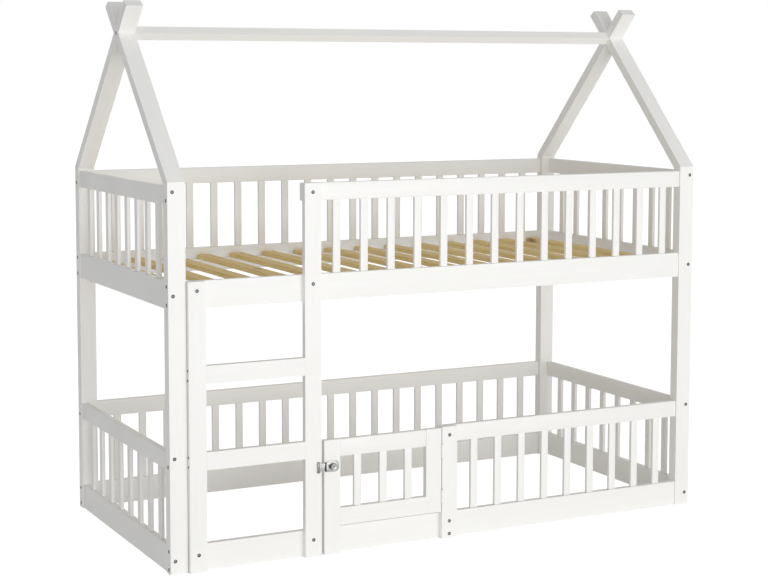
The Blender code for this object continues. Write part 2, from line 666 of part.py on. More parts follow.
def make_keeper():
    """The staple on the ladder stile that the bolt slides into."""
    place = Vector((KEEPER_RIGHT - KEEPER_WIDE / 2, PLATE_BACK, LATCH_MIDDLE))
    half = Vector((KEEPER_WIDE / 2, 0, LATCH_PLATE_HIGH / 2))
    keeper = bmesh.new()
    add_box(keeper, Vector((0, HOUSING_FRONT - PLATE_BACK, 0)) - half, half)
    staple = add_object("latch_keeper", keeper, ZINC, place, bed)
    low = (place.x - KEEPER_WIDE, HOUSING_INNER, LATCH_MIDDLE - TUNNEL_HALF)
    high = (place.x + KEEPER_WIDE, UPRIGHT_FRONT, LATCH_MIDDLE + TUNNEL_HALF)
    add_boolean(staple, box_cutter("keeper_mouth", low, high, place, bed))


bed = add_empty("bed_origin", Vector((0, ORIGIN_SHIFT, 0)))
make_posts()
make_roof()
make_plain_rails()
make_slatted_rails()
make_deck()
make_uprights()

gate_hinge = add_empty("gate_hinge", HINGE_AXIS, bed)
latch_slide = add_empty("latch_slide", Vector((KNOB_X, BAR_MIDDLE, LATCH_MIDDLE)), gate_hinge)
make_gate(gate_hinge)
for hinge_name, hinge_height in HINGES.items():
    make_hinge(hinge_name, hinge_height, gate_hinge)
make_housing(gate_hinge)
make_bolt(latch_slide)
make_keeper()
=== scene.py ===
"""House-shaped bunk bed: paint, pine, upright slats, bolts, hinges and the gate's slide bolt.

Laid out as a Blender add-on. Run as a script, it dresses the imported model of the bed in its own
frame: X along the bed, Y from the ladder side to the wall side, Z up from the floor, in metres.
"""

import math

import bmesh
import bpy
from bpy.props import FloatProperty, FloatVectorProperty, IntProperty, PointerProperty
from mathutils import Euler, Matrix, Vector


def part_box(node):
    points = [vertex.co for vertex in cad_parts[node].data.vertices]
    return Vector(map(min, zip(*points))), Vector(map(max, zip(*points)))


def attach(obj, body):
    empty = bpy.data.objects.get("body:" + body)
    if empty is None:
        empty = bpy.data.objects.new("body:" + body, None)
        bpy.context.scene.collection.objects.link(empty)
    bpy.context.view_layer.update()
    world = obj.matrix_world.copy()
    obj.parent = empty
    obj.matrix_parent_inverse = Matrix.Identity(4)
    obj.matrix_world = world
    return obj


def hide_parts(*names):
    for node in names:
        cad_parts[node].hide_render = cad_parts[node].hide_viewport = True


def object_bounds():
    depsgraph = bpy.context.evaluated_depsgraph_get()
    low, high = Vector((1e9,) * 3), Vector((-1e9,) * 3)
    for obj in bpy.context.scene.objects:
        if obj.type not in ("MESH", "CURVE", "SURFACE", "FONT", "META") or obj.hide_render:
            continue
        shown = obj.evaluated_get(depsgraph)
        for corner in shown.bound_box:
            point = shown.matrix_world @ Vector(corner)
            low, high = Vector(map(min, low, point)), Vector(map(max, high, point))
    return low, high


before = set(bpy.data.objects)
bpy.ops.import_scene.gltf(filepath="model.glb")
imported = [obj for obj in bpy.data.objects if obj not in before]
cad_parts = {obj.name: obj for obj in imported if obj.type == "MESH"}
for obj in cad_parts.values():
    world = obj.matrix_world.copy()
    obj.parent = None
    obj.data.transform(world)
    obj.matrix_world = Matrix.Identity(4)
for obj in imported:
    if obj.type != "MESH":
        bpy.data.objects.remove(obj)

bl_info = {
    "name": "House Bunk Bed",
    "version": (1, 0, 0),
    "blender": (4, 5, 0),
    "location": "3D View > Sidebar > Bunk Bed",
    "description": "Dresses a house-shaped bunk bed with paint, pine, slats and hardware",
    "category": "Add Mesh",
}

CAD_LOW, CAD_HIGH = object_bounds()
RAFTER_NODE = "rafter_front_left"
POSTS = ("post_front_left", "post_front_right", "post_back_left", "post_back_right")
UPRIGHTS = ("post_", "ladder_stile_", "gate_post", "gate_stile_")
RIGHT_ANGLE = math.radians(90)


def node_low(node):
    """Lowest corner of a node's box."""
    return Vector(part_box(node)[0])


def node_high(node):
    """Highest corner of a node's box."""
    return Vector(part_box(node)[1])


def node_middle(node):
    """Middle of a node's box."""
    return (node_low(node) + node_high(node)) / 2


# Sizes and colours that a user would change


def length(name, description, default):
    """A property that holds a length."""
    return FloatProperty(name=name, description=description, default=default, unit="LENGTH")


def amount(name, description, default):
    """A property that holds a plain number, such as a strength or a share."""
    return FloatProperty(name=name, description=description, default=default)


def count(name, description, default):
    """A property that holds a number of pieces."""
    return IntProperty(name=name, description=description, default=default, min=2)


def colour(name, description, default):
    """A property that holds a colour."""
    return FloatVectorProperty(
        name=name, description=description, subtype="COLOR", size=4, default=(*default, 1)
    )


class SlatSizes(bpy.types.PropertyGroup):
    """Upright slats of the guard rails, the fence and the gate."""

    wide: length("Width", "Width of a slat's face", 0.0275)
    thick: length("Thickness", "Thickness of a slat", 0.013)
    easing: length("Easing", "Rounding of a slat's edges", 0.002)
    tenon: length("Tenon", "How far a slat runs into its rail", 0.001)
    back: count("Back", "Slats along the back", 19)
    end: count("End", "Slats at each end", 8)
    guard: count("Guard", "Slats of the front guard rail", 14)
    fence: count("Fence", "Slats of the front fence", 9)
    gate: count("Gate", "Slats of the gate", 3)
    guard_gap: length("Guard gap", "Gap at each end of the front guard rail", 0.0565)
    gate_gap: length("Gate gap", "Gap at each side of the gate", 0.0545)


class BoardSizes(bpy.types.PropertyGroup):
    """Rails that carry upright slats."""

    rail_high: length("Rail", "Height of a guard or fence rail", 0.060)
    easing: length("Easing", "Rounding of a board's edges", 0.003)


class BoltSizes(bpy.types.PropertyGroup):
    """Bolts sunk in round recesses, each head in a black liner that paints its recess's shade."""

    # The black liner in a recess paints the shade of the recess round the head.
    washer: length("Shade liner", "Radius of the washer in a recess", 0.0062)
    wall: length("Wall", "Thickness of the washer's rim", 0.0004)
    recess: length("Recess", "Depth of a recess", 0.0029)
    sunk: length("Sunk", "Washer's rim below the wood's face", 0.0001)
    lap: length("Lap", "Radius of the washer's inner edge", 0.0030)
    head: length("Head", "Radius of the bright middle of the head", 0.0027)
    head_sunk: length("Head sunk", "Top of the head below the wood's face", 0.0015)
    socket: length("Socket", "Radius to the socket's corners", 0.0016)
    depth: length("Depth", "Depth of the socket", 0.0009)
    inset: length("Inset", "Bolt to a post's outer edge", 0.0165)
    stagger: length("Stagger", "Bolts of the narrow rails off the rail's middle", 0.014)
    pair: length("Pair", "Bolts of the wide rails above and below the rail's middle", 0.030)
    ladder_rise: length("Ladder rise", "Ladder's bolts above the rail's middle", 0.015)
    gate_rise: length("Gate post rise", "Middle bolt above the floor rail's middle", 0.0173)
    gate_drop: length("Gate post drop", "Lowest bolt below the floor rail's middle", 0.0282)
    crossing: length("Crossing", "Height of the roof's crossings", 1.7693)
    screw: length("Screw", "Radius of a rung's screw", 0.0040)
    screw_step: length("Screw step", "Screws above and below a rung's middle", 0.016)


class LatchSizes(bpy.types.PropertyGroup):
    """Slide bolt of the gate."""

    easing: length("Easing", "Rounding of pressed edges", 0.0005)
    plate: length("Plate", "Thickness of the plate on the gate", 0.0015)
    corner: length("Corner", "Rounding of the plate's outer corners", 0.012)
    bar_thick: length("Bar thickness", "Thickness of the sliding bar", 0.004)
    bar_high: length("Bar height", "Height of the sliding bar", 0.026)
    room: length("Room", "Room round the sliding bar", 0.0004)
    wall: length("Wall", "Wall of the housing over the bar", 0.0012)
    collar: length("Collar", "Width of the collar at the housing's mouth", 0.0045)
    lip: length("Lip", "Width of the keeper's lower lip", 0.0035)
    stem: length("Stem", "Radius of the knob's stem", 0.0035)
    knob: length("Knob", "Radius of the knob", 0.0120)
    knob_high: length("Knob height", "Height of the knob", 0.0110)
    knob_from_tail: length("Knob from tail", "Knob's middle to the bar's end", 0.0175)
    travel: length("Travel", "How far the bar slides", 0.012)
    screw: length("Screw", "Radius of the plate's screws", 0.0018)


class Finishes(bpy.types.PropertyGroup):
    """Colours of the bed."""

    paint: colour("Paint", "White paint", (0.95, 0.945, 0.925))
    paint_thin: colour("Thin paint", "Paint over raised grain", (0.90, 0.89, 0.86))
    pine_light: colour("Early wood", "Pale pine", (0.86, 0.66, 0.29))
    pine_dark: colour("Late wood", "Dark rings of pine", (0.68, 0.46, 0.17))
    knot: colour("Knot", "Knots in pine", (0.24, 0.11, 0.04))
    zinc: colour("Zinc", "Zinc-plated steel", (0.44, 0.44, 0.43))
    zinc_dull: colour("Dull zinc", "Clouds in the plating", (0.33, 0.33, 0.32))
    # Dark zinc of the bolt heads; on the keeper and the knob's side it paints shade.
    dark_zinc_and_shade: colour("Dark zinc and shade", "Zinc gone dull on keeper and bolts", (0.26, 0.26, 0.255))
    dark_zinc_and_shade_clouds: colour("Dark tarnish", "Darker clouds in the tarnish", (0.18, 0.18, 0.175))
    # Black of the rung screws, and painted shade on the recess liners and the slide bolt's collar.
    black_and_shade: colour("Black and painted shade", "Blackened washers and screws", (0.012, 0.012, 0.012))
    black_worn: colour("Worn black", "Rubbed places on washers and screws", (0.03, 0.03, 0.029))


class StageLook(bpy.types.PropertyGroup):
    """Floor, lamp and sky."""

    floor_half: length("Floor", "Half the floor's side", 60.0)
    floor_colour: colour("Floor", "Pale floor", (0.95, 0.95, 0.95))
    glow: amount("Floor glow", "What the camera sees of the floor in shade", 0.93)
    shade: amount("Floor shade", "How far a shadow darkens the floor", 0.34)
    sky: amount("Sky", "Strength of the even light", 0.445)
    key: amount("Key", "Power of the front lamp in watts", 264.0)
    key_wide: length("Key width", "Width of the front lamp", 6.5)
    key_high: length("Key height", "Height of the front lamp", 2.2)
    key_away: length("Key distance", "Front lamp to the bed's middle", 7.5)
    key_rise: length("Key rise", "Height of the front lamp's middle", 1.0)


SETTINGS = {
    "bunk_slats": SlatSizes,
    "bunk_boards": BoardSizes,
    "bunk_bolts": BoltSizes,
    "bunk_latch": LatchSizes,
    "bunk_finishes": Finishes,
    "bunk_stage": StageLook,
}


# Modelling helpers

# Cosines past which a face points along an axis, and an edge runs along it
POINTS_ALONG = 0.9
RUNS_ALONG = 0.99


def deselect():
    """Clears the selection, so that an operator acts on what it is meant for."""
    bpy.ops.object.select_all(action="DESELECT")


def alone(piece):
    """Makes one object the only selected and active one."""
    deselect()
    piece.select_set(True)
    bpy.context.view_layer.objects.active = piece


def named(name):
    """Names the object that was just added, and its mesh."""
    piece = bpy.context.active_object
    piece.name = name
    piece.data.name = name
    return piece


def in_edit_mode(piece):
    """Enters edit mode on one object with faces to select."""
    alone(piece)
    bpy.ops.object.mode_set(mode="EDIT")
    bpy.ops.mesh.select_mode(type="FACE")


def choose_faces(piece, test):
    """In edit mode, selects the faces that pass a test."""
    bpy.ops.mesh.select_all(action="DESELECT")
    cage = bmesh.from_edit_mesh(piece.data)
    for face in cage.faces:
        face.select_set(test(face))
    bmesh.update_edit_mesh(piece.data)


def apply_modifier(piece, kind, **settings):
    """Adds a modifier with its settings and applies it."""
    alone(piece)
    modifier = piece.modifiers.new(kind.title(), kind)
    for key, value in settings.items():
        setattr(modifier, key, value)
    bpy.ops.object.modifier_apply(modifier=modifier.name)


def combine(piece, other, operation):
    """Cuts or joins a piece with another shape, which is used up."""
    apply_modifier(piece, "BOOLEAN", operation=operation, solver="EXACT", object=other)
    bpy.data.objects.remove(other, do_unlink=True)


def add_block(name, low, high):
    """A cube drawn out between two corners, its size applied."""
    low, high = Vector(low), Vector(high)
    deselect()
    bpy.ops.mesh.primitive_cube_add(size=1, location=(low + high) / 2, scale=high - low)
    piece = named(name)
    bpy.ops.object.transform_apply(location=True, rotation=True, scale=True)
    return piece


def add_board(name, low, high, easing):
    """A board between two corners with eased edges."""
    piece = add_block(name, low, high)
    apply_modifier(piece, "BEVEL", width=easing, segments=3, limit_method="ANGLE")
    smooth(piece)
    return piece


def add_cylinder(name, radius, low, high, vertices):
    """A cylinder about Z between two heights."""
    low, high = Vector((0, 0, low)), Vector((0, 0, high))
    deselect()
    bpy.ops.mesh.primitive_cylinder_add(
        vertices=vertices,
        radius=radius,
        depth=(high - low).length,
        location=(low + high) / 2,
    )
    piece = named(name)
    bpy.ops.object.transform_apply(location=True, rotation=True, scale=True)
    return piece


def smooth(piece, degrees=35):
    """Smooth shading with crisp corners."""
    alone(piece)
    bpy.ops.object.shade_smooth_by_angle(angle=math.radians(degrees))


def copy_to(master, name, place, turn):
    """A copy of a finished piece with its own mesh, turned and put in its place."""
    alone(master)
    bpy.ops.object.duplicate()
    piece = named(name)
    piece.location = place
    piece.rotation_euler = turn
    bpy.ops.object.transform_apply(location=True, rotation=True, scale=True)
    return piece


def join(name, pieces):
    """Joins pieces into one object."""
    alone(pieces[0])
    for piece in pieces:
        piece.select_set(True)
    if len(pieces) > 1:
        bpy.ops.object.join()
    return named(name)


def finish_piece(piece, material, body):
    """Gives a piece its material, body and slot."""
    piece.data.materials.clear()
    piece.data.materials.append(material)
    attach(piece, body)


# Materials

# Colour sockets of a Mix node
MIX_FIRST, MIX_SECOND, MIX_RESULT = 6, 7, 2
# Rate of noise along the grain as a share of that across it, and fibres and rings to a streak
GRAIN_STRETCH = 0.05
FIBRES_TO_STREAK = 9.0
RINGS_TO_STREAK = 11.0
# Knots to a metre, along the grain and across it
KNOT_RATES = (2.6, 6.5, 6.5)
# Spans of noise or of a mask, each with what it becomes
EDGE_TURN = ((0.995, 0.86), (0.0, 1.0))
EDGE_BREAKS = ((0.35, 0.65), (0.0, 1.0))
PAINT_STREAKS = ((0.35, 0.75), (0.0, 0.35))
PAINT_WEAR = ((0.0, 1.0), (0.0, 0.55))
PAINT_ROUGHNESS = ((0.3, 0.7), (0.42, 0.56))
LATE_WOOD = ((0.55, 1.0), (0.0, 0.75))
KNOT_CORES = ((0.13, 0.05), (0.0, 0.85))
PINE_FIBRES = ((0.3, 0.75), (0.0, 0.3))
PINE_ROUGHNESS = ((0.3, 0.7), (0.62, 0.8))
METAL_CLOUDS = ((0.35, 0.65), (0.0, 1.0))
# A metal's roughness rises by this much over this span of its clouds
METAL_SPAN = (0.3, 0.7)
METAL_RISE = 0.16


def new_group(name, inputs, outputs):
    """An empty shader node group with named sockets, and its two ends."""
    group = bpy.data.node_groups.new(name, "ShaderNodeTree")
    for socket, kind, value in inputs:
        made = group.interface.new_socket(socket, in_out="INPUT", socket_type=kind)
        if value is not None:
            made.default_value = value
    for socket in outputs:
        group.interface.new_socket(socket, in_out="OUTPUT", socket_type="NodeSocketFloat")
    return group, put(group, "NodeGroupInput").outputs, put(group, "NodeGroupOutput").inputs


def put(tree, kind, links=None, values=None, **settings):
    """Adds a node with its settings, input values and incoming links."""
    node = tree.nodes.new(kind)
    for key, value in settings.items():
        setattr(node, key, value)
    for key, value in (values or {}).items():
        node.inputs[key].default_value = value
    for key, source in (links or {}).items():
        tree.links.new(source, node.inputs[key])
    return node


def put_group(tree, name, links=None, values=None):
    """Places a shared group with its own values, and gives its outputs."""
    group = bpy.data.node_groups[name]
    return put(tree, "ShaderNodeGroup", links, values, node_tree=group).outputs


def feed(tree, value, socket):
    """Sets a socket to a value, or links it to another socket."""
    if isinstance(value, bpy.types.NodeSocket):
        tree.links.new(value, socket)
    else:
        socket.default_value = value


def mix(tree, factor, first, second):
    """A colour between two, by a factor; each may be a colour or a socket."""
    node = put(tree, "ShaderNodeMix", {0: factor}, data_type="RGBA")
    feed(tree, first, node.inputs[MIX_FIRST])
    feed(tree, second, node.inputs[MIX_SECOND])
    return node.outputs[MIX_RESULT]


def reckon(tree, operation, first, second):
    """What an operation makes of two values, each a number or a socket."""
    node = put(tree, "ShaderNodeMath", operation=operation)
    feed(tree, first, node.inputs[0])
    feed(tree, second, node.inputs[1])
    return node.outputs[0]


def map_range(tree, value, spans):
    """A value carried from one span to another."""
    (low, high), (to_low, to_high) = spans
    ends = {"From Min": low, "From Max": high, "To Min": to_low, "To Max": to_high}
    return put(tree, "ShaderNodeMapRange", {"Value": value}, ends).outputs[0]


def add_noise(tree, vector, scale, **values):
    """Noise over a vector, at a scale that a socket gives."""
    links = {"Vector": vector, "Scale": scale}
    return put(tree, "ShaderNodeTexNoise", links, values).outputs["Fac"]


def own_place(tree):
    """Object coordinates."""
    return put(tree, "ShaderNodeTexCoord").outputs["Object"]


def along_grain(tree, turn):
    """Object coordinates turned so that a board's grain runs along their X."""
    links = {"Vector": own_place(tree)}
    return put(tree, "ShaderNodeMapping", links, {"Rotation": turn}).outputs[0]


def raise_relief(tree, shader, height, strength, depth):
    """Raises a surface by a height, through its normal."""
    values = {"Strength": strength, "Distance": depth}
    bump = put(tree, "ShaderNodeBump", {"Height": height}, values)
    tree.links.new(bump.outputs[0], shader.inputs["Normal"])


def make_board_grain():
    """Group: streaks and fibres that run along X of the vector it is given."""
    sockets = [("Vector", "NodeSocketVector", None), ("Streak Width", "NodeSocketFloat", 0.012)]
    group, given, out = new_group("Board Grain", sockets, ["Streaks", "Fibres"])
    drawn_out = {"Scale": (GRAIN_STRETCH, 1, 1)}
    vector = put(group, "ShaderNodeMapping", {"Vector": given["Vector"]}, drawn_out).outputs[0]
    rate = reckon(group, "DIVIDE", 1.0, given["Streak Width"])
    finer = reckon(group, "MULTIPLY", rate, FIBRES_TO_STREAK)
    streaks = add_noise(group, vector, rate, Detail=4.0, Roughness=0.55, Distortion=0.3)
    fibres = add_noise(group, vector, finer, Detail=3.0, Roughness=0.6)
    group.links.new(streaks, out["Streaks"])
    group.links.new(fibres, out["Fibres"])


def make_rubbed_edges():
    """Group: a mask along a piece's edges, broken up by noise."""
    sockets = [("Radius", "NodeSocketFloat", 0.003), ("Breakup", "NodeSocketFloat", 60.0)]
    group, given, out = new_group("Rubbed Edges", sockets, ["Mask"])
    rounded = put(group, "ShaderNodeBevel", {"Radius": given["Radius"]}, samples=6)
    flat = put(group, "ShaderNodeNewGeometry")
    normals = {0: rounded.outputs[0], 1: flat.outputs["Normal"]}
    likeness = put(group, "ShaderNodeVectorMath", normals, operation="DOT_PRODUCT")
    edge = map_range(group, likeness.outputs["Value"], EDGE_TURN)
    noise = add_noise(group, own_place(group), given["Breakup"], Detail=3.0)
    mask = reckon(group, "MULTIPLY", edge, map_range(group, noise, EDGE_BREAKS))
    group.links.new(mask, out["Mask"])


def make_clouds():
    """Group: soft uneven patches and a fine tooth."""
    sockets = [("Patch", "NodeSocketFloat", 8.0), ("Tooth", "NodeSocketFloat", 900.0)]
    group, given, out = new_group("Clouds", sockets, ["Patches", "Tooth"])
    place = own_place(group)
    for name, scale, detail in (("Patches", "Patch", 3.0), ("Tooth", "Tooth", 2.0)):
        group.links.new(add_noise(group, place, given[scale], Detail=detail), out[name])


def new_material(name):
    """The node tree and the shader of a new material."""
    material = bpy.data.materials.new(name)
    material.use_nodes = True
    return material.node_tree, material.node_tree.nodes["Principled BSDF"]


def make_paint(name, turn, look):
    """Satin white paint, rolled over pine whose grain shows faintly."""
    tree, shader = new_material(name)
    grain = put_group(tree, "Board Grain", {"Vector": along_grain(tree, turn)})
    clouds = put_group(tree, "Clouds", values={"Patch": 5.0, "Tooth": 700.0})
    edges = put_group(tree, "Rubbed Edges", values={"Radius": 0.002})
    streaks = map_range(tree, grain["Streaks"], PAINT_STREAKS)
    body = mix(tree, streaks, look.paint, look.paint_thin)
    worn = map_range(tree, edges["Mask"], PAINT_WEAR)
    tree.links.new(mix(tree, worn, body, look.paint_thin), shader.inputs["Base Color"])
    roughness = map_range(tree, clouds["Patches"], PAINT_ROUGHNESS)
    tree.links.new(roughness, shader.inputs["Roughness"])
    relief = reckon(tree, "ADD", grain["Fibres"], clouds["Tooth"])
    raise_relief(tree, shader, relief, strength=0.12, depth=0.0006)


def make_pine(name, turn, look):
    """Bare sawn pine with rings, fibres and a few knots."""
    tree, shader = new_material(name)
    vector = along_grain(tree, turn)
    grain = put_group(tree, "Board Grain", {"Vector": vector}, {"Streak Width": 0.02})
    rings = reckon(tree, "MULTIPLY", grain["Streaks"], RINGS_TO_STREAK)
    waves = reckon(tree, "PINGPONG", rings, 1.0)
    body = mix(tree, map_range(tree, waves, LATE_WOOD), look.pine_light, look.pine_dark)
    sown = put(tree, "ShaderNodeMapping", {"Vector": vector}, {"Scale": KNOT_RATES}).outputs[0]
    cells = put(tree, "ShaderNodeTexVoronoi", {"Vector": sown}, {"Scale": 1.0, "Randomness": 1.0})
    knots = map_range(tree, cells.outputs["Distance"], KNOT_CORES)
    knotted = mix(tree, knots, body, look.knot)
    fibres = map_range(tree, grain["Fibres"], PINE_FIBRES)
    tree.links.new(mix(tree, fibres, knotted, look.pine_dark), shader.inputs["Base Color"])
    roughness = map_range(tree, grain["Fibres"], PINE_ROUGHNESS)
    tree.links.new(roughness, shader.inputs["Roughness"])
    raise_relief(tree, shader, grain["Fibres"], strength=0.3, depth=0.0008)


def make_metal(name, bright, dull_and_shade, metallic, rough, patch, shine=0.5):
    """A metal or enamel with clouds in its colour and sheen, rubbed along its edges."""
    tree, shader = new_material(name)
    clouds = put_group(tree, "Clouds", values={"Patch": patch, "Tooth": 2400.0})
    edges = put_group(tree, "Rubbed Edges", values={"Radius": 0.0006, "Breakup": 400.0})
    body = mix(tree, map_range(tree, clouds["Patches"], METAL_CLOUDS), bright, dull_and_shade)
    tree.links.new(mix(tree, edges["Mask"], body, bright), shader.inputs["Base Color"])
    roughness = map_range(tree, clouds["Patches"], (METAL_SPAN, (rough, rough + METAL_RISE)))
    tree.links.new(roughness, shader.inputs["Roughness"])
    shader.inputs["Metallic"].default_value = metallic
    shader.inputs["Specular IOR Level"].default_value = shine
    raise_relief(tree, shader, clouds["Tooth"], strength=0.1, depth=0.0002)


def rafter_slope():
    """Slope of the rafters, from the box of one."""
    low, high = node_low(RAFTER_NODE), node_high(RAFTER_NODE)
    return math.atan2(high.z - low.z, high.y - low.y)


def paints():
    """The paint of each direction of grain."""
    keys = ("along", "across", "upright", "front rafter", "back rafter")
    return {key: bpy.data.materials[f"White paint, {key}"] for key in keys}


class BUNKBED_OT_finishes(bpy.types.Operator):
    """Mixes the paint, pine and metal finishes."""

    bl_idname = "bunkbed.finishes"
    bl_label = "Mix Finishes"

    def execute(self, context):
        look = context.scene.bunk_finishes
        make_board_grain()
        make_rubbed_edges()
        make_clouds()
        slope = rafter_slope()
        turns = {
            "along": (0, 0, 0),
            "across": (0, 0, RIGHT_ANGLE),
            "upright": (0, RIGHT_ANGLE, 0),
            "front rafter": (-slope, 0, RIGHT_ANGLE),
            "back rafter": (slope, 0, RIGHT_ANGLE),
        }
        for key, turn in turns.items():
            make_paint(f"White paint, {key}", turn, look)
        make_pine("Pine, across", turns["across"], look)
        zinc, dark_zinc_and_shade = (look.zinc, look.zinc_dull), (look.dark_zinc_and_shade, look.dark_zinc_and_shade_clouds)
        black_and_shade, enamel = (look.black_and_shade, look.black_worn), (look.paint, look.paint_thin)
        make_metal("Zinc plating", *zinc, metallic=1.0, rough=0.36, patch=160.0)
        # Dark zinc of the bolt heads, and painted shade on the keeper and the knob's side.
        make_metal("Dark zinc and painted shade", *dark_zinc_and_shade, metallic=1.0, rough=0.42, patch=120.0)
        # Black of the rung screws, and painted shade on the recess liners and the slide bolt's
        # collar.
        make_metal("Blackened steel and painted shade", *black_and_shade, metallic=0.0, rough=0.7, patch=160.0, shine=0.15)
        make_metal("Hinge enamel", *enamel, metallic=0.0, rough=0.28, patch=90.0)
        return {"FINISHED"}


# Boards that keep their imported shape


class BUNKBED_OT_boards(bpy.types.Operator):
    """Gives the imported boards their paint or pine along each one's grain, and the hinges theirs."""

    bl_idname = "bunkbed.boards"
    bl_label = "Paint Boards"

    def execute(self, context):
        paint = paints()
        found = bpy.data.materials
        for name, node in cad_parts.items():
            size = node_high(name) - node_low(name)
            if name.startswith("rafter_"):
                finish = paint["front rafter" if "front" in name else "back rafter"]
            elif name.startswith(UPRIGHTS):
                finish = paint["upright"]
            elif name.startswith("deck_slat"):
                finish = found["Pine, across"]
            elif name.startswith("hinge_leaf"):
                finish = found["Hinge enamel"]
            elif name.startswith(("hinge_pin", "latch_")):
                finish = found["Zinc plating"]
            else:
                finish = paint["across" if size.y > size.x else "along"]
            node.data.materials.clear()
            node.data.materials.append(finish)
        return {"FINISHED"}


# Rails with their upright slats

ALONG_X, ALONG_Y = 0, 1


def spread(start, end, number, wide, gap=None):
    """First place and step of slats between two faces, evenly or with a set gap at the ends."""
    gap = gap or (end - start - number * wide) / (number + 1)
    first = start + gap + wide / 2
    last = end - gap - wide / 2
    return first, (last - first) / (number - 1)


def add_panel(context, node, axis, start, end, number, body="frame", gap=None):
    """A rail and a row of slats below it, in place of a node, along an axis."""
    slats = context.scene.bunk_slats
    boards = context.scene.bunk_boards
    low, high = node_low(node), node_high(node)
    rail_low = Vector((low.x, low.y, high.z - boards.rail_high))
    rail = add_board(f"{node}_board", rail_low, high, boards.easing)
    grain = "along" if axis == ALONG_X else "across"
    finish_piece(rail, paints()[grain], body)
    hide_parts(node)

    first, step = spread(start, end, number, slats.wide, gap)
    middle = (low + high) / 2
    slat_low = middle - Vector((slats.thick, slats.thick, 0)) / 2
    slat_high = middle + Vector((slats.thick, slats.thick, 0)) / 2
    slat_low[axis] = first - slats.wide / 2
    slat_high[axis] = first + slats.wide / 2
    slat_low.z = low.z
    slat_high.z = rail_low.z + slats.tenon
    row = add_board(f"{node}_slats", slat_low, slat_high, slats.easing)
    offset = Vector((0, 0, 0))
    offset[axis] = step
    apply_modifier(
        row,
        "ARRAY",
        count=number,
        use_relative_offset=False,
        use_constant_offset=True,
        constant_offset_displace=offset,
    )
    finish_piece(row, paints()["upright"], body)


class BUNKBED_OT_slat_panels(bpy.types.Operator):
    """Builds the guard rails and the fence with their upright slats."""

    bl_idname = "bunkbed.slat_panels"
    bl_label = "Add Slat Panels"

    def execute(self, context):
        slats = context.scene.bunk_slats
        left = node_high("post_front_left").x
        right = node_low("post_front_right").x
        front = node_high("post_front_left").y
        back = node_low("post_back_left").y
        for level in ("guard", "fence"):
            add_panel(context, f"{level}_rail_back", ALONG_X, left, right, slats.back)
            for end in ("left", "right"):
                add_panel(context, f"{level}_rail_{end}", ALONG_Y, front, back, slats.end)
        ladder = node_high("ladder_stile_right").x
        gap = slats.guard_gap
        add_panel(context, "guard_rail_front", ALONG_X, ladder, right, slats.guard, gap=gap)
        post = node_high("gate_post").x
        add_panel(context, "fence_rail_front", ALONG_X, post, right, slats.fence)
        start, end = node_high("gate_stile_latch").x, node_low("gate_stile_hinge").x
        gap = slats.gate_gap
        add_panel(context, "gate_rail_top", ALONG_X, start, end, slats.gate, body="gate", gap=gap)
        return {"FINISHED"}


# Bolts and screws

# Crown of a bolt's head: shares of its radius, and walls below its top
HEAD_CROWN = ((0.93, 0.25), (0.7, 0.0))
# A screw, in shares of its radius: how deep it goes, its rim, its dome and the cross in it
SCREW_BURIED = 0.4
SCREW_RIM = 0.02
SCREW_DOME = ((0.9, 0.12), (0.65, 0.2), (0.3, 0.24))
CROSS_ARMS = ((0.55, 0.12), (0.12, 0.55))
CROSS_FLOOR, CROSS_TOP = 0.02, 0.5


def draw_on(radius, height, steps):
    """In edit mode, draws the chosen round face on through steps of radius and height."""
    for next_radius, next_height in steps:
        climb = (0, 0, next_height - height)
        bpy.ops.mesh.extrude_region_move(TRANSFORM_OT_translate={"value": climb})
        share = next_radius / radius
        bpy.ops.transform.resize(value=(share, share, 1))
        radius, height = next_radius, next_height


def make_turned(name, radius, low, high, steps, vertices=24):
    """A turned piece about Z: a cylinder whose top face is drawn on through steps."""
    piece = add_cylinder(name, radius, low, high, vertices)
    in_edit_mode(piece)
    choose_faces(piece, lambda face: face.normal.z > POINTS_ALONG)
    draw_on(radius, high, steps)
    bpy.ops.object.mode_set(mode="OBJECT")
    return piece


def make_shade_liner(sizes):
    """A black liner that paints a recess's shade and laps over the shoulder of the head in it."""
    floor = -sizes.recess + sizes.wall
    inner = sizes.washer - sizes.wall
    rim = -sizes.sunk
    shoulder = rim - 2 * sizes.wall
    steps = [
        (inner, rim),
        (inner, floor),
        (inner - 2 * sizes.wall, floor),
        (inner - 2 * sizes.wall, shoulder),
        (inner - 3 * sizes.wall, rim - sizes.wall),
        (sizes.lap, rim - sizes.wall),
        (sizes.lap, floor),
    ]
    washer = make_turned("washer", sizes.washer, -sizes.recess, rim, steps)
    smooth(washer, degrees=30)
    return washer


def make_head(sizes):
    """The bright middle of a bolt's head, slightly crowned, with its hexagon socket."""
    top = -sizes.head_sunk
    base = -sizes.recess + sizes.wall / 2
    steps = [(sizes.head * wide, top - sizes.wall * drop) for wide, drop in HEAD_CROWN]
    head = make_turned("head", sizes.head, base, top - sizes.wall, steps)
    socket = add_cylinder("socket", sizes.socket, top - sizes.depth, top + sizes.depth, vertices=6)
    combine(head, socket, "DIFFERENCE")
    smooth(head, degrees=30)
    return head


def make_screw(name, radius):
    """A low domed screw with a cross recess, its underside in the wood."""
    steps = [(radius * wide, radius * rise) for wide, rise in SCREW_DOME]
    low, high = -radius * SCREW_BURIED, radius * SCREW_RIM
    screw = make_turned(name, radius, low, high, steps, vertices=20)
    for reach_x, reach_y in CROSS_ARMS:
        low = Vector((-reach_x, -reach_y, CROSS_FLOOR)) * radius
        high = Vector((reach_x, reach_y, CROSS_TOP)) * radius
        combine(screw, add_block("cross", low, high), "DIFFERENCE")
    smooth(screw, degrees=30)
    return screw


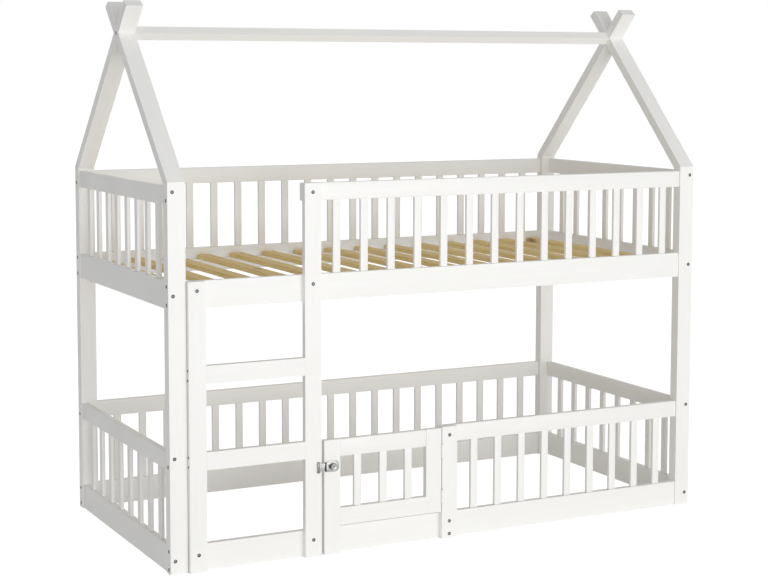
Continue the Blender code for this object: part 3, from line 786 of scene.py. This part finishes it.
def face_out(axis, sign):
    """Turn that points a bolt out of a face: along Y or X, to one side."""
    if axis == "Y":
        return Euler((-sign * RIGHT_ANGLE, 0, 0))
    return Euler((0, sign * RIGHT_ANGLE, 0))


def set_copies(master, name, places, finish, body="frame"):
    """Copies of a metal piece at places with turns, joined into one piece."""
    copies = [copy_to(master, "copy", place, turn) for place, turn in places]
    finish_piece(join(name, copies), bpy.data.materials[finish], body)


def rail_middles(context):
    """Heights of the rails' middles by level; a slatted rail's node reaches down to its slats."""
    half = context.scene.bunk_boards.rail_high / 2
    return {
        "guard": node_high("guard_rail_back").z - half,
        "deck": node_middle("deck_rail_back").z,
        "fence": node_high("fence_rail_back").z - half,
        "floor": node_middle("floor_rail_back").z,
    }


def corner_places(post, sizes, middles):
    """Places and turns of one post's bolts, in its wide face and its outer side face."""
    low, high = node_low(post), node_high(post)
    side_x = -1 if "left" in post else 1
    side_y = -1 if "front" in post else 1
    outer_x = low.x if side_x < 0 else high.x
    outer_y = low.y if side_y < 0 else high.y
    wide = [
        middles["guard"] + sizes.stagger,
        middles["deck"],
        middles["fence"] + sizes.stagger,
        middles["floor"],
    ]
    side = [middles[level] - sizes.stagger for level in ("guard", "fence")]
    side += [middles[level] + way * sizes.pair for level in ("deck", "floor") for way in (-1, 1)]
    inset_x = outer_x - side_x * sizes.inset
    inset_y = outer_y - side_y * sizes.inset
    places = [((inset_x, outer_y, z), face_out("Y", side_y)) for z in wide]
    places += [((outer_x, inset_y, z), face_out("X", side_x)) for z in side]
    return places


def upright_places(sizes, middles):
    """Places and turns of the bolts through the ladder's stiles and the gate post."""
    ladder = [middles["deck"] + sizes.ladder_rise, middles["floor"] + sizes.ladder_rise]
    floor = middles["floor"]
    heights = {
        "ladder_stile_left": ladder,
        "ladder_stile_right": [middles["guard"], *ladder],
        "gate_post": [middles["fence"], floor + sizes.gate_rise, floor - sizes.gate_drop],
    }
    return {
        node: [((node_middle(node).x, node_low(node).y, z), face_out("Y", -1)) for z in levels]
        for node, levels in heights.items()
    }


class BUNKBED_OT_bolts(bpy.types.Operator):
    """Sets the sunk bolts of the corners, the ladder, the gate post and the roof."""

    bl_idname = "bunkbed.bolts"
    bl_label = "Set Bolts"

    def execute(self, context):
        sizes = context.scene.bunk_bolts
        middles = rail_middles(context)
        groups = {post: corner_places(post, sizes, middles) for post in POSTS}
        groups.update(upright_places(sizes, middles))
        middle_y = node_middle("ridge_beam").y
        groups["roof_left"] = [((CAD_LOW.x, middle_y, sizes.crossing), face_out("X", -1))]
        groups["roof_right"] = [((CAD_HIGH.x, middle_y, sizes.crossing), face_out("X", 1))]
        kinds = (
            # The black liners paint the shade in the bolts' recesses round the heads.
            ("washers", make_shade_liner(sizes), "Blackened steel and painted shade"),
            ("heads", make_head(sizes), "Dark zinc and painted shade"),
        )
        for kind, master, finish in kinds:
            for group, places in groups.items():
                set_copies(master, f"{kind}_{group}", places, finish)
            bpy.data.objects.remove(master, do_unlink=True)
        return {"FINISHED"}


class BUNKBED_OT_rung_screws(bpy.types.Operator):
    """Drives the screws that hold the rungs through the ladder's stiles."""

    bl_idname = "bunkbed.rung_screws"
    bl_label = "Drive Rung Screws"

    def execute(self, context):
        sizes = context.scene.bunk_bolts
        master = make_screw("rung_screw", sizes.screw)
        faces = {
            "ladder_stile_left": (node_low("ladder_stile_left").x, -1),
            "ladder_stile_right": (node_high("ladder_stile_right").x, 1),
        }
        rungs = [node_middle(rung).z for rung in ("rung_lower", "rung_upper")]
        heights = [rung + way * sizes.screw_step for rung in rungs for way in (-1, 1)]
        for stile, (x, side) in faces.items():
            places = [((x, node_middle(stile).y, z), face_out("X", side)) for z in heights]
            set_copies(master, f"rung_screws_{stile}", places, "Blackened steel and painted shade")
        bpy.data.objects.remove(master, do_unlink=True)
        return {"FINISHED"}


# Slide bolt of the gate

# In walls of the housing: the collar's thickness, and the plate left past the way's end
COLLAR_WALLS = 1.3
WAY_SHORT_WALLS = 4
# In radii of a plate screw: its middle to the plate's long edges, and to the mouth
SCREW_FROM_EDGE = 1.25
SCREW_FROM_MOUTH = 3
# The knob from its underside to its dished middle: shares of its radius and of its height
KNOB_OUTLINE = (
    (0.92, 0.0),
    (1.0, 0.1),
    (1.0, 0.78),
    (0.97, 0.88),
    (0.9, 0.96),
    (0.8, 1.0),
    (0.72, 0.98),
    (0.64, 0.88),
    (0.28, 0.83),
    (0.22, 0.78),
)
# Share of the stem's length that runs straight before it spreads into the knob
STEM_SHARE = 0.95
# Where the knob is darker: shade painted on its side, outside the first of these shares of its
# radius and only on faces whose normal lies this far off the knob's axis, as a cosine; and its
# dished middle, inside the second share
KNOB_SIDE = 0.9
KNOB_DISH = 0.3
SIDE_TURN = 0.8


def round_corners(piece, test, radius):
    """Rounds the edges that pass a test, seen as corners of an outline."""
    alone(piece)
    bpy.ops.object.mode_set(mode="EDIT")
    bpy.ops.mesh.select_mode(type="EDGE")
    bpy.ops.mesh.select_all(action="DESELECT")
    cage = bmesh.from_edit_mesh(piece.data)
    for edge in cage.edges:
        edge.select_set(test(edge))
    bmesh.update_edit_mesh(piece.data)
    bpy.ops.mesh.bevel(offset=radius, segments=8, affect="EDGES")
    bpy.ops.object.mode_set(mode="OBJECT")


def along_y(edge):
    """Whether an edge runs straight through a board, along Y."""
    first, second = (vert.co for vert in edge.verts)
    return abs((second - first).normalized().y) > RUNS_ALONG


def eased(piece, width, segments=2):
    """Rounds a pressed piece's sharp edges and shades it."""
    apply_modifier(piece, "BEVEL", width=width, segments=segments, limit_method="ANGLE")
    smooth(piece)
    return piece


def at_side(place, way):
    """Test for the straight-through edges on one side of a place along X."""
    return lambda edge: along_y(edge) and way * (edge.verts[0].co.x - place) > 0


def cut_way(piece, sizes, left, right, room):
    """Cuts the way of the sliding bar between two places along X, open at the back."""
    middle = node_middle("latch_bolt").z
    back = node_high("latch_bolt").y
    reach = sizes.bar_high / 2 + room
    low = (left, back - sizes.bar_thick - room, middle - reach)
    high = (right, back + sizes.corner, middle + reach)
    combine(piece, add_block("way", low, high), "DIFFERENCE")


def make_keeper(sizes):
    """The strap on the ladder's stile that takes the bar's tip."""
    low, high = node_low("latch_keeper"), node_high("latch_keeper")
    keeper = add_block("keeper", low, (high.x - sizes.lip, high.y, high.z))
    round_corners(keeper, at_side(node_middle("latch_keeper").x, -1), sizes.wall)
    cut_way(keeper, sizes, low.x - sizes.lip, high.x + sizes.lip, sizes.room)
    return eased(keeper, sizes.easing)


def make_keeper_lip(sizes):
    """The keeper's lower lip, where the bar enters it."""
    low, high = node_low("latch_keeper"), node_high("latch_keeper")
    inset = 2 * sizes.easing
    lip_low = (high.x - sizes.lip, low.y + sizes.easing / 2, low.z + inset)
    lip = add_block("keeper_lip", lip_low, (high.x, high.y, high.z - inset))
    cut_way(lip, sizes, low.x, high.x + sizes.lip, sizes.room)
    return eased(lip, sizes.easing / 2)


def make_housing(sizes, knob_x):
    """A plate with round outer corners and a raised way for the bar, slotted for the stem."""
    low, high = node_low("latch_housing"), node_high("latch_housing")
    middle = node_middle("latch_housing")
    plate = add_block("plate", (low.x, high.y - sizes.plate, low.z), high)
    round_corners(plate, at_side(middle.x, 1), sizes.corner)
    bar_front = node_high("latch_bolt").y - sizes.bar_thick - sizes.room
    front = bar_front - sizes.wall
    outer = sizes.bar_high / 2 + sizes.room + sizes.wall
    cover_low = (low.x, front, middle.z - outer)
    cover = add_block("cover", cover_low, (high.x - sizes.wall, high.y, middle.z + outer))
    round_corners(cover, at_side(middle.x, 1), sizes.corner - sizes.wall)
    combine(plate, cover, "UNION")
    way_end = high.x - WAY_SHORT_WALLS * sizes.wall
    cut_way(plate, sizes, low.x - sizes.wall, way_end, sizes.room)
    reach = sizes.stem + sizes.room
    slot_low = (knob_x - sizes.travel - reach, front - sizes.wall, middle.z - reach)
    slot = add_block("slot", slot_low, (knob_x + reach, bar_front + sizes.wall, middle.z + reach))
    combine(plate, slot, "DIFFERENCE")
    return eased(plate, sizes.easing / 2)


def make_collar(sizes):
    """A collar round the housing's mouth, black to paint the shade of the gap there."""
    low = node_low("latch_housing")
    back = node_high("latch_housing").y
    middle = node_middle("latch_housing").z
    thick = sizes.wall * COLLAR_WALLS
    front = node_high("latch_bolt").y - sizes.bar_thick - sizes.room - thick
    outer = sizes.bar_high / 2 + sizes.room + thick
    left = low.x - sizes.collar / 2
    right = left + sizes.collar
    collar = add_block("collar", (left, front, middle - outer), (right, back, middle + outer))
    cut_way(collar, sizes, left - thick, right + thick, sizes.room / 2)
    return eased(collar, sizes.easing)


def make_bar(sizes, knob_x):
    """The flat sliding bar with its round tip corners, stem and crowned knob."""
    low, high = node_low("latch_bolt"), node_high("latch_bolt")
    middle = node_middle("latch_bolt").z
    front = high.y - sizes.bar_thick
    reach = sizes.bar_high / 2
    tail = knob_x + sizes.stem * 2
    bar = add_block("bar", (low.x, front, middle - reach), (tail, high.y, middle + reach))
    round_corners(bar, at_side(knob_x - sizes.travel, -1), sizes.wall)
    eased(bar, sizes.easing)
    base = front - low.y - sizes.knob_high
    steps = [(sizes.stem, base * STEM_SHARE)]
    steps += [(sizes.knob * wide, base + sizes.knob_high * rise) for wide, rise in KNOB_OUTLINE]
    knob = make_turned("knob", sizes.stem, -sizes.bar_thick / 2, 0, steps, vertices=48)
    smooth(knob, degrees=40)
    placed = copy_to(knob, "knob_placed", (knob_x, front, middle), face_out("Y", -1))
    bpy.data.objects.remove(knob, do_unlink=True)
    return join("slide_bar", [bar, placed])


def paint_knob_shade(bar, sizes, knob_x):
    """Paints shade on the knob's side, and darkens its dished middle, with the dark zinc."""
    middle_z = node_middle("latch_bolt").z
    base = node_low("latch_bolt").y + sizes.knob_high

    def dull_and_shade(face):
        centre = face.calc_center_median()
        if centre.y >= base:
            return False
        out = math.hypot(centre.x - knob_x, centre.z - middle_z)
        side = out > sizes.knob * KNOB_SIDE and abs(face.normal.y) < SIDE_TURN
        return side or out < sizes.knob * KNOB_DISH

    bar.data.materials.append(bpy.data.materials["Dark zinc and painted shade"])
    in_edit_mode(bar)
    choose_faces(bar, dull_and_shade)
    bar.active_material_index = len(bar.data.materials) - 1
    bpy.ops.object.material_slot_assign()
    bpy.ops.object.mode_set(mode="OBJECT")


class BUNKBED_OT_latch(bpy.types.Operator):
    """Builds the gate's slide bolt: keeper, housing, collar, bar with its knob, and screws."""

    bl_idname = "bunkbed.latch"
    bl_label = "Add Slide Bolt"

    def execute(self, context):
        sizes = context.scene.bunk_latch
        knob_x = node_high("latch_bolt").x - sizes.knob_from_tail
        keeper, lip = make_keeper(sizes), make_keeper_lip(sizes)
        housing, collar = make_housing(sizes, knob_x), make_collar(sizes)
        bar = make_bar(sizes, knob_x)
        pieces = (
            # The keeper's dark zinc paints the shade on its face.
            ("slide_keeper", keeper, "Dark zinc and painted shade", "frame"),
            ("slide_keeper_lip", lip, "Zinc plating", "frame"),
            ("slide_housing", housing, "Zinc plating", "gate"),
            # The collar's black paints the shade of the gap at the housing's mouth.
            ("slide_collar", collar, "Blackened steel and painted shade", "gate"),
            ("slide_bar", bar, "Zinc plating", "latch"),
        )
        for name, piece, finish, body in pieces:
            finish_piece(join(name, [piece]), bpy.data.materials[finish], body)
        # Shade is painted on the knob's side with the dark zinc.
        paint_knob_shade(bar, sizes, knob_x)
        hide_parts("latch_keeper")
        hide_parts("latch_housing")
        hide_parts("latch_bolt")

        low, high = node_low("latch_housing"), node_high("latch_housing")
        face = high.y - sizes.plate
        edge = sizes.screw * SCREW_FROM_EDGE
        columns = (low.x + SCREW_FROM_MOUTH * sizes.screw, high.x - sizes.corner)
        rows = (low.z + edge, high.z - edge)
        places = [((x, face, z), face_out("Y", -1)) for x in columns for z in rows]
        master = make_screw("plate_screw", sizes.screw)
        set_copies(master, "slide_screws", places, "Zinc plating", "gate")
        bpy.data.objects.remove(master, do_unlink=True)
        return {"FINISHED"}


# Stage

# The camera: its frame, focal length and level line in pixels, its place measured from the floor
# under the ridge's middle, and its turn in degrees
FRAME_WIDE, FRAME_HIGH = 768, 576
FOCAL_LENGTH = 1711.104
LEVEL_LINE = 219.881
CAMERA_PLACE = (-2.9020, -5.6776, 1.6552)
CAMERA_TURN = (84.8893, -0.0973, -27.0134)
SENSOR_WIDE = 36
FARTHEST_SEEN = 300
WHITE = (1, 1, 1, 1)


def make_floor_material(look):
    """A pale floor that the camera sees as white, apart from the bed's shadow."""
    material = bpy.data.materials.new("Pale floor")
    material.use_nodes = True
    tree = material.node_tree
    tree.nodes.clear()
    shadow, shine = (look.shade,) * 3 + (1,), (look.glow,) * 3 + (1,)
    matte = put(tree, "ShaderNodeBsdfDiffuse", values={"Color": look.floor_colour})
    shade = put(tree, "ShaderNodeBsdfDiffuse", values={"Color": shadow})
    glow = put(tree, "ShaderNodeEmission", values={"Color": shine, "Strength": 1.0})
    seen = put(tree, "ShaderNodeAddShader", {0: shade.outputs[0], 1: glow.outputs[0]})
    put(tree, "ShaderNodeOutputMaterial", {"Surface": by_sight(tree, matte, seen)})
    return material


def by_sight(tree, lit, seen):
    """One shader for light, and another for the camera and for what gloss and glass show."""
    rays = put(tree, "ShaderNodeLightPath").outputs
    mirrored = reckon(tree, "MAXIMUM", rays["Is Glossy Ray"], rays["Is Transmission Ray"])
    sight = reckon(tree, "MAXIMUM", rays["Is Camera Ray"], mirrored)
    links = {0: sight, 1: lit.outputs[0], 2: seen.outputs[0]}
    return put(tree, "ShaderNodeMixShader", links).outputs[0]


def add_lamp(name, power, wide, high, place, target):
    """A soft oblong lamp at a place, pointed at a target."""
    bpy.ops.object.light_add(type="AREA", location=place)
    lamp = bpy.context.active_object
    lamp.name = name
    lamp.data.energy = power
    lamp.data.shape = "RECTANGLE"
    lamp.data.size = wide
    lamp.data.size_y = high
    lamp.rotation_euler = (target - Vector(place)).to_track_quat("-Z", "Y").to_euler()


class BUNKBED_OT_stage(bpy.types.Operator):
    """Adds the floor, the sky, the lamp and the camera."""

    bl_idname = "bunkbed.stage"
    bl_label = "Add Stage"

    def execute(self, context):
        look = context.scene.bunk_stage
        deselect()
        bpy.ops.mesh.primitive_plane_add(size=2 * look.floor_half, location=(0, 0, CAD_LOW.z))
        floor = named("floor")
        floor.data.materials.append(make_floor_material(look))

        world = bpy.data.worlds.new("Studio")
        context.scene.world = world
        world.use_nodes = True
        tree = world.node_tree
        tree.nodes.clear()
        light, white = (
            put(tree, "ShaderNodeBackground", values={"Color": WHITE, "Strength": strength})
            for strength in (look.sky, 1.0)
        )
        put(tree, "ShaderNodeOutputWorld", {"Surface": by_sight(tree, light, white)})

        middle = (CAD_LOW + CAD_HIGH) / 2
        key_place = (middle.x, -look.key_away, look.key_rise)
        add_lamp("key_lamp", look.key, look.key_wide, look.key_high, key_place, middle)

        place_x, place_y, place_z = CAMERA_PLACE
        place_y += node_middle("ridge_beam").y
        bpy.ops.object.camera_add(location=(place_x, place_y, place_z))
        camera = context.active_object
        camera.name = "photo_camera"
        camera.rotation_euler = [math.radians(turn) for turn in CAMERA_TURN]
        camera.data.sensor_width = SENSOR_WIDE
        camera.data.lens = FOCAL_LENGTH / FRAME_WIDE * SENSOR_WIDE
        camera.data.shift_y = (LEVEL_LINE - FRAME_HIGH / 2) / FRAME_WIDE
        camera.data.clip_end = FARTHEST_SEEN
        context.scene.camera = camera
        context.scene.view_settings.view_transform = "Standard"
        return {"FINISHED"}


class BUNKBED_PT_panel(bpy.types.Panel):
    """Lists the bed's settings and operators."""

    bl_idname = "BUNKBED_PT_panel"
    bl_label = "House Bunk Bed"
    bl_space_type = "VIEW_3D"
    bl_region_type = "UI"
    bl_category = "Bunk Bed"

    def draw(self, context):
        for name, settings in SETTINGS.items():
            box = self.layout.box()
            for prop in settings.__annotations__:
                box.prop(getattr(context.scene, name), prop)
        for operator in OPERATORS:
            self.layout.operator(operator.bl_idname)


OPERATORS = (
    BUNKBED_OT_finishes,
    BUNKBED_OT_boards,
    BUNKBED_OT_slat_panels,
    BUNKBED_OT_bolts,
    BUNKBED_OT_rung_screws,
    BUNKBED_OT_latch,
    BUNKBED_OT_stage,
)
CLASSES = (*SETTINGS.values(), *OPERATORS, BUNKBED_PT_panel)


def register():
    """Registers the classes and hangs the settings on the scene."""
    for cls in CLASSES:
        bpy.utils.register_class(cls)
    for name, settings in SETTINGS.items():
        setattr(bpy.types.Scene, name, PointerProperty(type=settings))


def unregister():
    """Takes the settings and classes away again."""
    for name in SETTINGS:
        delattr(bpy.types.Scene, name)
    for cls in reversed(CLASSES):
        bpy.utils.unregister_class(cls)


def main():
    """Builds the bed's looks in order."""
    register()
    bpy.ops.bunkbed.finishes()
    bpy.ops.bunkbed.boards()
    bpy.ops.bunkbed.slat_panels()
    bpy.ops.bunkbed.bolts()
    bpy.ops.bunkbed.rung_screws()
    bpy.ops.bunkbed.latch()
    bpy.ops.bunkbed.stage()


if __name__ == "__main__":
    main()
